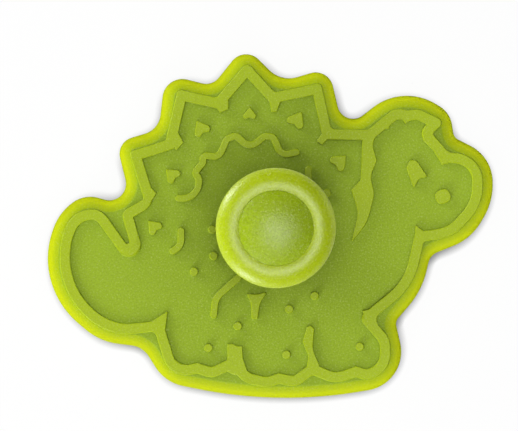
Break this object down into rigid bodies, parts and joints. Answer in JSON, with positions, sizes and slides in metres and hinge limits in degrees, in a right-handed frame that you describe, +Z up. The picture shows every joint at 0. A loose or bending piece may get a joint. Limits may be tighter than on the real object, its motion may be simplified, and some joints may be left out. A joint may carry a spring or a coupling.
{
  "type": "plunger cutter",
  "caption": "Dough cutter in the outline of a plated dinosaur, with a rolled rim, a raised line drawing on top and a sprung embossing plunger pressed by a round knob.",
  "frame": {"origin": "on the plane of the cutting edge, under the middle of the rim's box", "axes": "+Z up along the plunger, +X along the figure towards its head, +Y towards its back plates"},
  "size_m": [0.0847, 0.0654, 0.0425],
  "materials": {
    "shell_plastic": "lime green, fine moulded grain",
    "stamp_plastic": "lime green, fine moulded grain",
    "stem_plastic": "lime green, smooth",
    "spring_steel": "drawn wire, bright",
    "knob_plastic": "lime green, satin",
    "screw_steel": "zinc plated",
    "cap_plastic": "lime green, fine moulded grain"
  },
  "bodies": {
    "cutter": {"cutter_shell": "shell_plastic", "return_spring": "spring_steel"},
    "plunger": {"stamp_plate": "stamp_plastic", "plunger_stem": "stem_plastic", "plunger_knob": "knob_plastic", "knob_screw": "screw_steel", "knob_cap": "cap_plastic"}
  },
  "joints": [
    {"name": "plunger_press", "type": "slide", "parent": "cutter", "child": "plunger", "axis": [0, 0, -1], "range_m": [0, 0.01], "stiffness_N_per_m": 950, "springref_m": -0.004, "deforming": ["return_spring"]}
  ]
}
